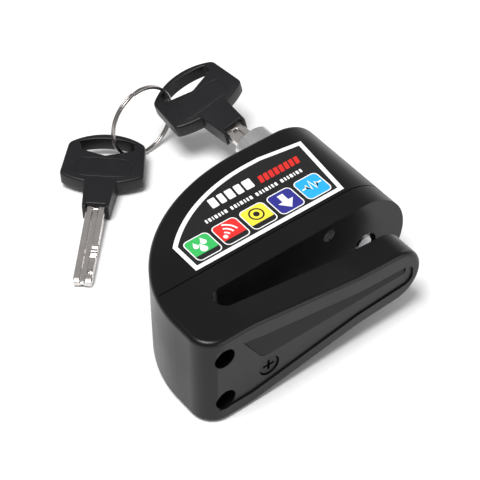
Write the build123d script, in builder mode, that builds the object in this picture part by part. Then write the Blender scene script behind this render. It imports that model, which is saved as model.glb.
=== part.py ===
"""Alarm disc brake lock with two keys on a split ring.

Frame: millimetres, +Z up.  The lock lies on its flat back face.  The origin is
on that face, in the mid-plane of the disc slot, in the middle of the heel.
X runs along the slot towards its open mouth, Y towards the key cylinder.
"""
import os
from math import cos, radians, sin

from build123d import *

os.makedirs("parts", exist_ok=True)

# ---------------------------------------------------------------- driving sizes
# whole lock
body_thick = 32.5
heel_half = 6.5
nose_reach = 77.2
upper_height = 44.0
jaw_drop = 12.7
slot_width = 7.0
seam_height = 10.9
nose_corner_r = 8.0
heel_corner_r = 7.0
tail_curve_reach = 52.6
tail_curve_start = 1.0
soft_edge = 1.6
seam_groove = 0.35

# lower jaw
jaw_reach = 70.1
jaw_tip_r = 9.4
jaw_neck_x = 47.0
jaw_neck_half = 10.2
jaw_root_x = 9.5
rim_upper = 6.2
rim_lower = 4.8
panel_depth = 0.5
scoop_slope = 0.36
scoop_start = 6.5

# sound holes and the screw in the lower face
duct_d = 6.5
duct_x = 0.4
duct_pitch = 16.8
screw_x = 15.4
screw_drop = 5.0
screw_head_d = 6.6
screw_head_h = 2.2
screw_shank_d = 4.0
screw_recess = 0.4

# steel core of the lower jaw
core_start = 5.0
core_end = 57.0
core_thick = 4.0
core_height = 16.0
core_cover = 1.5

# push cylinder, plug and pin
barrel_x = 62.8
barrel_d = 15.0
barrel_out = 12.2
barrel_length = 30.1
travel = 11.5
pin_d = 6.0
pin_gap = 0.2
plug_d = 9.0
plug_length = 23.6
key_turn = 13.0
sleeve_wall = 1.0
sleeve_start = 24.0
running = 0.06
loose = 0.6
bush_wall = 1.0
bush_recess = 1.5
strike_depth = 5.1
spring_wire = 0.9
spring_turns = 5

# alarm housing
wall = 3.5
roof = 3.0
cover_thick = 1.8
cover_sink = 0.3
cover_lip = 1.9
gap = 0.1
tower_left = 50.0
tower_right = 73.0
tower_half = 10.4
tower_round = 5.0
tower_gap = 0.2
mouth_wall = 2.8

# label
label_left = 9.0
label_right = 61.8
label_top_right = 64.6
label_bend = 50.0
label_fall = 2.2
label_low = 12.1
label_margin = 6.2
label_thick = 0.4
label_inset = 0.2

# alarm electronics
cell_d = 11.6
cell_h = 5.4
cells_per_row = 3
cell_row_pitch = 11.8
cell_row_y = 20.2
cell_start = 31.1
board_thick = 1.2
buzzer_d = 18.0
buzzer_h = 5.6
buzzer_x = 16.0
buzzer_wall = 1.6
buzzer_disc_low = 1.6
buzzer_disc_thick = 0.4
buzzer_disc_r = 8.2
contact_half = 3.0
contact_thick = 0.5
cell_lip = 0.9
cell_step = 1.2
chip_x = 38.5
chip_y = 28.8
chip_length = 6.0
chip_width = 5.0
chip_high = 1.6
coil_x = 35.0
coil_y = 20.0
coil_r = 3.6
coil_core_r = 1.2
coil_high = 6.0
capacitor_x = 44.5
capacitor_y = (18.5, 24.5)
capacitor_r = 2.5
capacitor_high = 7.0
sensor_y = 34.0
sensor_left = 35.5
sensor_right = 46.5
sensor_r = 2.4

# keys
bow_thick = 5.0
bow_low_half = 13.1
bow_top_half = 12.0
bow_low_v = 12.1
bow_shoulder_v = 25.4
bow_arch_v = 29.6
neck_length = 8.9
neck_root_half = 5.0
neck_end_half = 4.1
neck_thick = 5.8
prong = 1.3
blade_width = 5.8
blade_thick = 2.6
blade_length = 29.4
blade_in_neck = 8.0
key_out = 9.6
bow_corner_r = 1.8
bow_edge = 0.6
prong_width = 1.2
hole_half = 8.8
hole_end_v = 25.7
hole_arch_v = 27.4
hole_end_height = 2.7
hole_low_v = 20.4
oval_v = 15.4
oval_length = 17.0
oval_height = 7.2
groove_width = 1.5
groove_depth = 0.6
dimple_v = (-15.7, -18.3, -25.4)
dimple_u = 1.8
dimple_r = 0.8
dimple_depth = 0.5
key_2_x = 16.64
key_2_y = 74.31
key_2_yaw = 47.2
key_2_pitch = 4.0
lying_gap = 0.05

# split ring
ring_r = 11.65
ring_radial = 1.0
ring_axial = 1.5
ring_x = 45.35
ring_y = 89.84
ring_z = 12.37
ring_yaw = 5.01
ring_lean = 6.2

# small fittings
nose_blend = 0.6
stop_pin_r = 1.2
stop_depth = 0.9
latch_inner = 3.9
cover_posts = ((4.4, 17.6), (23.5, 32.5), (27.6, 17.2))
post_r = 2.2
cam_r = 2.2
spring_r = 5.6
plunger_stroke = 2.3
plunger_length = 4.4
dowel_x = 49.0
dowel_offsets = (-12.0, 12.0)
dowel_r = 2.0
switch_half_y = 3.4
switch_half_z = 3.6
plunger_r = 0.8
lug_screw_r = 1.25
lug_head_r = 2.3
lug_head_top = 2.4
cover_screw_r = 0.9
cover_head_r = 1.7
mesh_y = -5.0
spigot_r = 1.9
latch_along = 2.4
latch_across = 2.2
keeper_r = 0.7
keeper_inner = 3.95
tumbler_r = 0.75
tumbler_u = 1.7
tumbler_reach = 3.7

# ---------------------------------------------------------------- derived sizes
mid_z = body_thick / 2
tail_x = -heel_half - 0.1
throat_x = heel_half
slot_half = slot_width / 2
slot_end_x = throat_x + slot_half
nose_x = nose_reach - mid_z
curve_x = tail_x + tail_curve_reach
jaw_tip_x = jaw_reach - jaw_tip_r
panel_y = -jaw_drop + panel_depth
panel_end = jaw_reach - 3.2
barrel_r = barrel_d / 2
barrel_end = upper_height + barrel_out
barrel_in = barrel_end - barrel_length
plug_r = plug_d / 2
plug_face = barrel_end - 0.3
plug_in = plug_face - plug_length
bore_floor = plug_in - 3.0
pin_r = pin_d / 2
pin_tip = slot_half + pin_gap
bush_r = pin_r + bush_wall
sleeve_in_r = barrel_r + running
sleeve_r = sleeve_in_r + sleeve_wall
tower_top = upper_height - mouth_wall - tower_gap
sleeve_end = tower_top + 1.2
mouth_r = sleeve_r + 0.15
chamber_r = barrel_r + loose
chamber_floor = seam_height + 0.1
cavity_low = seam_height + roof
cavity_top = body_thick - roof
cavity_floor = cover_sink + cover_thick
cavity_right = tower_left - tower_gap
duct_r = duct_d / 2
duct_offsets = (-duct_pitch / 2, duct_pitch / 2)
core_y = -slot_half - core_cover
screw_z = mid_z - screw_drop
screw_head_r = screw_head_d / 2
screw_top_y = panel_y + screw_recess
stop_y = sleeve_start + 7.0
latch_y = bore_floor + 1.4
latch_reach = barrel_r - 0.3
switch_y = barrel_in - 7.3
switch_tip_x = barrel_x - barrel_r + 0.8
cell_r = cell_d / 2
cell_z = cavity_floor + 0.9 + cell_r
board_z = cell_z + cell_r + 2.0
cell_row_end = cell_start + cells_per_row * cell_h
cradle_left = cell_start - 0.9
cradle_right = cell_row_end + 1.3
board_low = cavity_low + 1.1
board_high = cell_row_y + cell_row_pitch + 5.0
buzzer_y = cavity_low + 0.7
neck_y = barrel_end + key_out
screw_lug_x = tower_left + 3.6
housing_screws_y = (seam_height + 3.4, tower_top - 3.6)
dowel_end = seam_height + 2.6
switch_right = tower_left + 4.0
stop_inner = barrel_r - stop_depth + 0.1
lug_screw_top = mid_z - tower_half + 5.5
cover_head_top = cover_sink + 1.1
keeper_y = plug_in + 1.9
tumbler_y = [plug_in + 5.2 + 3.4 * i for i in range(5)]

lock_axis = Plane(origin=(barrel_x, 0, mid_z), x_dir=(1, 0, 0), z_dir=(0, 1, 0))
turn = radians(key_turn)
turned_x = (cos(turn), 0, sin(turn))
turned_axis = Plane(origin=(barrel_x, 0, mid_z), x_dir=turned_x, z_dir=(0, 1, 0))
switch_axis = Plane(origin=(0, switch_y, mid_z), x_dir=(0, 1, 0), z_dir=(1, 0, 0))
stop_axis = Plane(origin=(barrel_x, stop_y, mid_z), x_dir=(1, 0, 0), z_dir=(0, 0, -1))
keeper_axis = Plane(origin=(barrel_x, keeper_y, mid_z), x_dir=(0, 1, 0), z_dir=(-1, 0, 0))


# ---------------------------------------------------------------- helpers
def xz(y):
    """A sketch plane across Y: X to the right, Z up, normal towards -Y."""
    return Plane(origin=(0, y, 0), x_dir=(1, 0, 0), z_dir=(0, -1, 0))


def rod(plane, start, end, radius):
    """A plain cylinder along a plane's normal."""
    with BuildPart() as solid:
        with BuildSketch(plane.offset(start)):
            Circle(radius)
        extrude(amount=end - start)
    return solid.part


def tube(plane, start, end, outer, inner):
    """A plain tube along a plane's normal."""
    with BuildPart() as solid:
        with BuildSketch(plane.offset(start)):
            Circle(outer)
            Circle(inner, mode=Mode.SUBTRACT)
        extrude(amount=end - start)
    return solid.part


def block(x0, x1, y0, y1, z0, z1):
    """A box between two corners."""
    with BuildPart() as solid:
        with BuildSketch(Plane.XY.offset(z0)):
            with Locations(((x0 + x1) / 2, (y0 + y1) / 2)):
                Rectangle(x1 - x0, y1 - y0)
        extrude(amount=z1 - z0)
    return solid.part


def upright(x, y):
    """A plane at z = 0 with its origin over a point of the plan."""
    return Plane(origin=(x, y, 0), x_dir=(1, 0, 0), z_dir=(0, 0, 1))


def rect(x0, x1, y0, y1, mode=Mode.ADD):
    """A rectangle between two corners, in the sketch being built."""
    with Locations(((x0 + x1) / 2, (y0 + y1) / 2)):
        Rectangle(x1 - x0, y1 - y0, mode=mode)


def plan(inset, low, high, left, right):
    """The upper body's plan outline, inset, and cut to a rectangle."""
    reach = tail_curve_reach - inset
    top = upper_height - inset
    end = nose_reach + nose_blend - inset
    with BuildSketch() as region:
        with Locations((curve_x, tail_curve_start)):
            Ellipse(reach, top - tail_curve_start)
        rect(curve_x - reach, curve_x, tail_curve_start, top, Mode.INTERSECT)
        rect(curve_x, end, tail_curve_start, top)
        rect(tail_x + inset, end, -jaw_drop, tail_curve_start)
        if inset < nose_corner_r:
            nose_corner = region.vertices().sort_by_distance((end, top, 0))[0]
            fillet(nose_corner, nose_corner_r - inset)
        rect(left, right, low, high, Mode.INTERSECT)
    return region.sketch


def label_shape(clearance):
    """The label: the plan moved inwards, cut straight below and with a leaning right edge."""
    high = upper_height - label_margin - clearance
    with BuildSketch() as shape:
        with BuildLine():
            Polyline(
                (label_left + clearance, label_low + clearance),
                (label_right - clearance, label_low + clearance),
                (label_top_right - clearance, high - label_fall),
                (label_bend, high),
                (label_left + clearance, high),
                close=True,
            )
        make_face()
        add(plan(label_margin + clearance, 0, upper_height, tail_x, nose_reach), mode=Mode.INTERSECT)
    return shape.sketch


def bullnose():
    """The upper body's side profile: flat faces and a round nose."""
    with BuildSketch() as profile:
        rect(tail_x - 1, nose_x, 0, body_thick)
        with Locations((nose_x, mid_z)):
            Circle(mid_z)
    return profile.sketch


def jaw_half(x):
    """Half the lower jaw's height above its middle at a place along it."""
    root = (jaw_root_x, mid_z)
    neck = (jaw_neck_x, jaw_neck_half)
    tip = (jaw_tip_x, jaw_tip_r)
    a, b = (root, neck) if x < jaw_neck_x else (neck, tip)
    return a[1] + (b[1] - a[1]) * (x - a[0]) / (b[0] - a[0])


def jaw_side():
    """The lower jaw's side profile, tapering from the heel to a round tip."""
    with BuildSketch() as profile:
        with BuildLine():
            Polyline(
                (jaw_tip_x, mid_z + jaw_tip_r),
                (jaw_neck_x, mid_z + jaw_neck_half),
                (jaw_root_x, body_thick),
                (tail_x - 1, body_thick),
                (tail_x - 1, 0),
                (jaw_root_x, 0),
                (jaw_neck_x, mid_z - jaw_neck_half),
                (jaw_tip_x, mid_z - jaw_tip_r),
            )
            ThreePointArc(
                (jaw_tip_x, mid_z - jaw_tip_r),
                (jaw_reach, mid_z),
                (jaw_tip_x, mid_z + jaw_tip_r),
            )
        make_face()
        bends = [
            v
            for v in profile.vertices()
            if abs(v.X - jaw_root_x) < 0.1 or abs(v.X - jaw_neck_x) < 0.1
        ]
        fillet(bends, 30.0)
    return profile.sketch


def tower_section(clearance):
    """The tower's section across the cylinder, or its bay's with a clearance."""
    with BuildSketch() as section:
        half = tower_half + clearance
        rect(tower_left - clearance, tower_right + clearance, mid_z - half, mid_z + half)
        fillet(section.vertices().group_by(Axis.X)[-1], tower_round + clearance)
    return section.sketch


def panel_side():
    """The sunk panel's outline on the lower face, open past the heel corner."""
    duct_edge = duct_pitch / 2 + duct_r + 0.6
    low_root = mid_z - rim_lower
    upper = [(x, mid_z + jaw_half(x) - rim_upper) for x in (jaw_root_x + 4, jaw_neck_x, panel_end)]
    lower = [(x, mid_z - jaw_half(x) + rim_lower) for x in (panel_end, jaw_neck_x)]
    with BuildSketch() as profile:
        with BuildLine():
            Polyline(
                (tail_x - 3, mid_z + duct_edge),
                (duct_x, mid_z + duct_edge),
                *upper,
                *lower,
                (jaw_root_x, mid_z - low_root),
                (tail_x - 3, mid_z - low_root),
                close=True,
            )
        make_face()
        fillet([v for v in profile.vertices() if v.X > jaw_tip_x], 3.0)
    return profile.sketch


def scoop_side():
    """The scoop's outline: under the panel's upper edge, down to mid-height."""
    xs = (jaw_root_x + 4, jaw_neck_x, panel_end - 2.5)
    upper = [(x, mid_z + jaw_half(x) - rim_upper) for x in xs]
    with BuildSketch() as profile:
        with BuildLine():
            Polyline(
                (scoop_start + 6.5, mid_z),
                (scoop_start, upper[0][1] + 1.0),
                *upper,
                (panel_end - 2.5, mid_z),
                close=True,
            )
        make_face()
        fillet(profile.vertices().sort_by_distance((scoop_start + 6.5, mid_z, 0))[0], 4.0)
        fillet([v for v in profile.vertices() if v.X > jaw_tip_x], 1.2)
    return profile.sketch


def scoop():
    """The sloping cut: flush at mid-height, deepest under the upper edge."""
    rise = mid_z
    with BuildPart() as cut:
        with BuildSketch(xz(-jaw_drop + 6)):
            add(scoop_side())
        extrude(amount=8)
        with BuildSketch(Plane.YZ.offset(scoop_start - 2)):
            with BuildLine():
                Polyline(
                    (-jaw_drop - 3, mid_z),
                    (panel_y, mid_z),
                    (panel_y + scoop_slope * rise, mid_z + rise),
                    (-jaw_drop - 3, mid_z + rise),
                    close=True,
                )
            make_face()
        extrude(amount=jaw_reach, mode=Mode.INTERSECT)
    return cut.part


parts = {}


def keep(name, part):
    """Label a finished piece and note it for export."""
    part.label = name
    parts[name] = part


# ---------------------------------------------------------------- castings
def lower_jaw():
    """Heel and lower jaw below the slot's middle, with its edges softened."""
    with BuildPart() as jaw:
        with BuildSketch():
            rect(tail_x, jaw_reach + 1, -jaw_drop, 0)
        extrude(amount=body_thick)
        with BuildSketch(xz(1)):
            add(jaw_side())
        extrude(amount=jaw_drop + 2, mode=Mode.INTERSECT)
        fillet(jaw.edges().sort_by_distance((tail_x, -jaw_drop, mid_z))[0], heel_corner_r)
        low_rim = jaw.edges().filter_by(lambda e: e.bounding_box().max.Y < -slot_half)
        tail_rim = jaw.edges().filter_by(Axis.Y).group_by(Axis.X)[0]
        upright_line = low_rim.filter_by(Axis.Z)
        fillet(low_rim.filter_by(lambda e: e not in upright_line) + tail_rim, soft_edge)
    return jaw.part


with BuildPart() as jaw_frame:
    with BuildSketch():
        add(plan(0, 0, seam_height, tail_x - 1, nose_reach + 5))
    extrude(amount=body_thick)
    with BuildSketch(xz(seam_height + 1)):
        add(bullnose())
    extrude(amount=seam_height + 2, mode=Mode.INTERSECT)
    tail_rim = jaw_frame.edges().filter_by(
        lambda e: e.bounding_box().size.Z < 0.01 and e.bounding_box().size.Y > 0.5 and e.center().X < 0
    )
    fillet(tail_rim, soft_edge)
    add(lower_jaw())
    with BuildSketch(xz(tower_top)):
        add(tower_section(0))
    extrude(amount=tower_top - seam_height)
    with BuildSketch():
        rect(slot_end_x, nose_reach + 5, -slot_half, slot_half)
        with Locations((slot_end_x, 0)):
            Circle(slot_half)
    extrude(amount=body_thick, mode=Mode.SUBTRACT)
    with BuildSketch(xz(panel_y)):
        add(panel_side())
    extrude(amount=5, mode=Mode.SUBTRACT)
    add(scoop(), mode=Mode.SUBTRACT)
    for offset_z in duct_offsets:
        duct_axis = Plane(origin=(duct_x, 0, mid_z + offset_z), x_dir=(1, 0, 0), z_dir=(0, 1, 0))
        add(rod(duct_axis, -jaw_drop - 1, seam_height + 1, duct_r), mode=Mode.SUBTRACT)
    add(rod(lock_axis, slot_half - 1, chamber_floor, bush_r), mode=Mode.SUBTRACT)
    add(rod(lock_axis, chamber_floor, sleeve_start, chamber_r), mode=Mode.SUBTRACT)
    add(rod(lock_axis, sleeve_start, tower_top + 1, sleeve_r), mode=Mode.SUBTRACT)
    add(rod(lock_axis, -slot_half - strike_depth, -slot_half + 1, bush_r), mode=Mode.SUBTRACT)
    with BuildSketch(xz(core_y)):
        rect(core_start, core_end, mid_z - core_height / 2, mid_z + core_height / 2)
    extrude(amount=core_thick, mode=Mode.SUBTRACT)
    screw_axis = Plane(origin=(screw_x, 0, screw_z), x_dir=(1, 0, 0), z_dir=(0, 1, 0))
    add(rod(screw_axis, panel_y - 5, screw_top_y + screw_head_h, screw_head_r + gap), mode=Mode.SUBTRACT)
    add(rod(screw_axis, panel_y, core_y, screw_shank_d / 2), mode=Mode.SUBTRACT)
    for offset_z in dowel_offsets:
        dowel_axis = Plane(origin=(dowel_x, 0, mid_z + offset_z), x_dir=(1, 0, 0), z_dir=(0, 1, 0))
        add(rod(dowel_axis, 0, seam_height + 1, dowel_r), mode=Mode.SUBTRACT)
    with BuildSketch(xz(switch_y + switch_half_y + gap)):
        rect(tower_left - 1, switch_right, mid_z - switch_half_z - gap, mid_z + switch_half_z + gap)
    extrude(amount=2 * (switch_half_y + gap), mode=Mode.SUBTRACT)
    add(rod(switch_axis, tower_left, barrel_x, plunger_r + running), mode=Mode.SUBTRACT)
    add(rod(stop_axis, stop_inner, tower_half - 0.3, stop_pin_r), mode=Mode.SUBTRACT)
    for y in housing_screws_y:
        lug_hole = rod(upright(screw_lug_x, y), mid_z - tower_half - 1, lug_screw_top, lug_screw_r)
        add(lug_hole, mode=Mode.SUBTRACT)

keep("jaw_frame", jaw_frame.part)

with BuildPart() as alarm_housing:
    with BuildSketch():
        add(plan(0, seam_height, upper_height + 1, tail_x - 1, nose_reach + 5))
    extrude(amount=body_thick)
    with BuildSketch(xz(upper_height + 1)):
        add(bullnose())
    extrude(amount=upper_height, mode=Mode.INTERSECT)
    outer_edges = [
        e
        for e in alarm_housing.edges()
        if e.bounding_box().max.Y > seam_height + 0.1
        and not (e.geom_type == GeomType.LINE and e.bounding_box().size.X < 0.01)
    ]
    fillet(outer_edges, soft_edge)
    with BuildSketch(xz(seam_height + seam_groove)):
        add(bullnose())
        offset(amount=-seam_groove, mode=Mode.SUBTRACT)
    extrude(amount=seam_groove, mode=Mode.SUBTRACT)
    with BuildSketch(Plane.XY.offset(cavity_floor)):
        add(plan(wall, cavity_low, upper_height, tail_x, cavity_right))
    extrude(amount=cavity_top - cavity_floor, mode=Mode.SUBTRACT)
    with BuildSketch(Plane.XY.offset(cavity_floor)):
        with Locations(*cover_posts):
            Circle(post_r)
    extrude(amount=cavity_top - cavity_floor)
    with BuildSketch():
        add(plan(wall - cover_lip, cavity_low - cover_lip, upper_height, tail_x, cavity_right + 1))
    extrude(amount=cavity_floor, mode=Mode.SUBTRACT)
    for x, y in cover_posts:
        add(rod(upright(x, y), 0, cavity_floor + 7, cover_screw_r), mode=Mode.SUBTRACT)
    with BuildSketch(xz(tower_top + tower_gap)):
        add(tower_section(tower_gap))
    extrude(amount=tower_top, mode=Mode.SUBTRACT)
    add(rod(lock_axis, tower_top, upper_height + 1, mouth_r), mode=Mode.SUBTRACT)
    for offset_z in duct_offsets:
        duct_axis = Plane(origin=(duct_x, 0, mid_z + offset_z), x_dir=(1, 0, 0), z_dir=(0, 1, 0))
        add(rod(duct_axis, seam_height - 1, cavity_low + 0.1, duct_r), mode=Mode.SUBTRACT)
    for offset_z in dowel_offsets:
        dowel_axis = Plane(origin=(dowel_x, 0, mid_z + offset_z), x_dir=(1, 0, 0), z_dir=(0, 1, 0))
        add(rod(dowel_axis, seam_height - 1, dowel_end, dowel_r), mode=Mode.SUBTRACT)
    for y in housing_screws_y:
        add(rod(upright(screw_lug_x, y), -1, mid_z, lug_screw_r + gap), mode=Mode.SUBTRACT)
        add(rod(upright(screw_lug_x, y), -1, lug_head_top, lug_head_r + gap), mode=Mode.SUBTRACT)
    with BuildSketch(Plane.XY.offset(body_thick - label_inset)):
        add(label_shape(0))
    extrude(amount=5, mode=Mode.SUBTRACT)

keep("alarm_housing", alarm_housing.part)


# ---------------------------------------------------------------- trim of the castings
with BuildPart() as jaw_core:
    with BuildSketch(xz(core_y)):
        rect(core_start, core_end, mid_z - core_height / 2, mid_z + core_height / 2)
    extrude(amount=core_thick)
    add(rod(screw_axis, core_y - core_thick - 1, core_y + 1, screw_shank_d / 2), mode=Mode.SUBTRACT)
keep("jaw_core", jaw_core.part)

with BuildPart() as jaw_screw:
    add(rod(screw_axis, screw_top_y, screw_top_y + screw_head_h, screw_head_r))
    fillet(jaw_screw.edges().group_by(Axis.Y)[0], 0.5)
    add(rod(screw_axis, screw_top_y + screw_head_h, core_y, screw_shank_d / 2))
    with BuildSketch(xz(screw_top_y + 1.0)):
        with Locations((screw_x, screw_z)):
            Rectangle(3.8, 0.9)
            Rectangle(0.9, 3.8)
    extrude(amount=2, mode=Mode.SUBTRACT)
keep("jaw_screw", jaw_screw.part)

with BuildPart() as sound_meshes:
    for offset_z in duct_offsets:
        mesh_plane = Plane(origin=(duct_x, mesh_y, mid_z + offset_z), x_dir=(1, 0, 0), z_dir=(0, -1, 0))
        with BuildSketch(mesh_plane):
            Circle(duct_r)
            with PolarLocations(2.0, 6):
                Circle(0.45, mode=Mode.SUBTRACT)
            Circle(0.45, mode=Mode.SUBTRACT)
        extrude(amount=0.6)
keep("sound_meshes", sound_meshes.part)

with BuildPart() as strip_dowels:
    for offset_z in dowel_offsets:
        dowel_axis = Plane(origin=(dowel_x, 0, mid_z + offset_z), x_dir=(1, 0, 0), z_dir=(0, 1, 0))
        add(rod(dowel_axis, slot_half, dowel_end, dowel_r))
keep("strip_dowels", strip_dowels.part)

keep("pin_bush", tube(lock_axis, slot_half + bush_recess, chamber_floor, bush_r, pin_r + running))
keep("strike_bush", tube(lock_axis, -slot_half - strike_depth, -slot_half, bush_r, pin_r + 0.15))

with BuildPart() as barrel_sleeve:
    add(tube(lock_axis, sleeve_start, sleeve_end, sleeve_r, sleeve_in_r))
    add(rod(stop_axis, barrel_r - 1, sleeve_r + 1, stop_pin_r), mode=Mode.SUBTRACT)
keep("barrel_sleeve", barrel_sleeve.part)
keep("stop_pin", rod(stop_axis, stop_inner, tower_half - 0.3, stop_pin_r))
keep("barrel_wiper", tube(lock_axis, sleeve_end + 0.1, upper_height - 0.2, mouth_r, barrel_r + 0.35))

with BuildPart() as housing_screws:
    for y in housing_screws_y:
        add(rod(upright(screw_lug_x, y), 0.4, lug_head_top, lug_head_r))
        add(rod(upright(screw_lug_x, y), lug_head_top, lug_screw_top, lug_screw_r))
        with BuildSketch(upright(screw_lug_x, y)):
            Rectangle(2.6, 0.7)
            Rectangle(0.7, 2.6)
        extrude(amount=1.2, mode=Mode.SUBTRACT)
keep("housing_screws", housing_screws.part)

with BuildPart() as back_cover:
    with BuildSketch(Plane.XY.offset(cover_sink)):
        cover_inset = wall - cover_lip + gap
        cover_low = cavity_low - cover_lip + gap
        add(plan(cover_inset, cover_low, upper_height, tail_x, cavity_right + 1 - gap))
    extrude(amount=cover_thick)
    for x, y in cover_posts:
        add(rod(upright(x, y), 0, cover_head_top, cover_head_r + gap), mode=Mode.SUBTRACT)
        add(rod(upright(x, y), 0, cavity_floor + 1, cover_screw_r), mode=Mode.SUBTRACT)
keep("back_cover", back_cover.part)

with BuildPart() as cover_screws:
    for x, y in cover_posts:
        add(rod(upright(x, y), cover_sink, cover_head_top, cover_head_r))
        add(rod(upright(x, y), cover_head_top, cavity_floor + 6, cover_screw_r))
        with BuildSketch(upright(x, y)):
            Rectangle(2.0, 0.5)
            Rectangle(0.5, 2.0)
        extrude(amount=cover_sink + 0.5, mode=Mode.SUBTRACT)
keep("cover_screws", cover_screws.part)

with BuildPart() as label_plate:
    with BuildSketch(Plane.XY.offset(body_thick - label_inset)):
        add(label_shape(gap))
    extrude(amount=label_thick)
keep("label_plate", label_plate.part)


# ---------------------------------------------------------------- push cylinder
with BuildPart() as lock_barrel:
    add(rod(lock_axis, barrel_in, barrel_end, barrel_r))
    ends = lock_barrel.edges().group_by(Axis.Y)
    chamfer(ends[0], 0.8)
    fillet(ends[-1], 0.5)
    add(rod(lock_axis, bore_floor, barrel_end + 1, plug_r + running), mode=Mode.SUBTRACT)
    add(rod(lock_axis, barrel_in - 1, bore_floor - 0.3, spigot_r), mode=Mode.SUBTRACT)
    with BuildSketch(Plane.XY.offset(mid_z - barrel_r - 1)):
        with Locations((barrel_x, stop_y + travel / 2)):
            SlotCenterToCenter(travel + 0.4, 2 * stop_pin_r + 0.2, rotation=90)
    extrude(amount=1 + stop_depth, mode=Mode.SUBTRACT)
    with BuildSketch(Plane.YZ.offset(barrel_x + latch_inner - 1.6)):
        with Locations((latch_y, mid_z)):
            Rectangle(latch_along + 2 * running, latch_across + 2 * running)
    extrude(amount=barrel_r, mode=Mode.SUBTRACT)
    add(rod(keeper_axis, keeper_inner, barrel_r + 1, keeper_r), mode=Mode.SUBTRACT)
keep("lock_barrel", lock_barrel.part)

with BuildPart() as key_plug:
    add(rod(turned_axis, plug_in, plug_face, plug_r))
    chamfer(key_plug.edges().group_by(Axis.Y)[-1], 0.3)
    with BuildSketch(turned_axis.offset(neck_y - blade_length - 0.3)):
        Rectangle(blade_width + 0.2, blade_thick + 0.2)
    extrude(amount=blade_length, mode=Mode.SUBTRACT)
    keeper_half = keeper_r + running
    groove_ends = (keeper_y - keeper_half, keeper_y + keeper_half)
    groove = tube(turned_axis, *groove_ends, plug_r + 1, keeper_inner - gap)
    add(groove, mode=Mode.SUBTRACT)
    for y in tumbler_y:
        with BuildSketch(turned_axis.offset(y).location * Location((0, 0, 0), (90, 0, 0))):
            with Locations((tumbler_u, 0)):
                Circle(tumbler_r + running)
        extrude(amount=plug_r + 1, mode=Mode.SUBTRACT)
keep("key_plug", key_plug.part)

with BuildPart() as tumbler_pins:
    for y in tumbler_y:
        with BuildSketch(turned_axis.offset(y).location * Location((0, 0, 0), (90, 0, 0))):
            with Locations((tumbler_u, 0)):
                Circle(tumbler_r)
        extrude(amount=tumbler_reach)
    with BuildSketch(turned_axis.offset(plug_in)):
        Rectangle(plug_d, blade_thick + 0.4)
    extrude(amount=plug_length, mode=Mode.SUBTRACT)
keep("tumbler_pins", tumbler_pins.part)

with BuildPart() as plug_cam:
    add(rod(turned_axis, bore_floor + gap, plug_in, cam_r))
    with BuildSketch(turned_axis.offset(bore_floor + gap)):
        rect(-plug_r + 0.5, 0, -1.4, 1.4)
    extrude(amount=plug_in - bore_floor - 2 * gap)
keep("plug_cam", plug_cam.part)

keep("keeper_pin", rod(keeper_axis, keeper_inner, barrel_r - 0.1, keeper_r))
keep(
    "latch_bolt",
    block(
        barrel_x + latch_inner,
        barrel_x + latch_reach,
        latch_y - latch_along / 2,
        latch_y + latch_along / 2,
        mid_z - latch_across / 2,
        mid_z + latch_across / 2,
    ),
)

with BuildPart() as lock_pin:
    add(rod(lock_axis, pin_tip, barrel_in, pin_r))
    chamfer(lock_pin.edges().group_by(Axis.Y)[0], 0.6)
    add(rod(lock_axis, barrel_in, bore_floor - 0.4, spigot_r))
keep("lock_pin", lock_pin.part)

with BuildPart() as return_spring:
    seat = chamber_floor + spring_wire / 2 + 0.05
    with BuildLine() as coil:
        Helix(
            pitch=(barrel_in - 0.05 - spring_wire / 2 - seat) / spring_turns,
            height=barrel_in - 0.05 - spring_wire / 2 - seat,
            radius=spring_r,
            center=(barrel_x, seat, mid_z),
            direction=(0, 1, 0),
        )
    with BuildSketch(Plane(origin=coil.line @ 0, z_dir=coil.line % 0)):
        Circle(spring_wire / 2)
    sweep(path=coil.line, is_frenet=True)
keep("return_spring", return_spring.part)


# ---------------------------------------------------------------- alarm electronics
row_y = (cell_row_y, cell_row_y + cell_row_pitch)
row_axes = [Plane(origin=(0, y, cell_z), x_dir=(0, 1, 0), z_dir=(1, 0, 0)) for y in row_y]

with BuildPart() as battery_cradle:
    add(block(cradle_left, cradle_right, row_y[0] - cell_r - 0.2, row_y[1] + cell_r, cell_z, board_z))
    for axis in row_axes:
        trough = rod(axis, cell_start - contact_thick, cell_row_end + contact_thick, cell_r + gap)
        add(trough, mode=Mode.SUBTRACT)
keep("battery_cradle", battery_cradle.part)

with BuildPart() as button_cells:
    for axis in row_axes:
        for i in range(cells_per_row):
            start = cell_start + i * cell_h
            step = start + cell_h - cell_lip
            add(rod(axis, start + 0.02, step, cell_r))
            add(rod(axis, step, start + cell_h - 0.02, cell_r - cell_step))
keep("button_cells", button_cells.part)

contact_low = cell_z - contact_half - 0.5
with BuildPart() as link_contact:
    link_y = (row_y[0] - contact_half, row_y[1] + contact_half)
    add(block(cell_start - contact_thick, cell_start, *link_y, contact_low, cell_z - gap))
keep("link_contact", link_contact.part)
with BuildPart() as pole_contacts:
    for y in row_y:
        pole_y = (y - contact_half, y + contact_half)
        add(block(cell_row_end, cell_row_end + contact_thick, *pole_y, contact_low, cell_z + contact_half))
keep("pole_contacts", pole_contacts.part)

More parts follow.
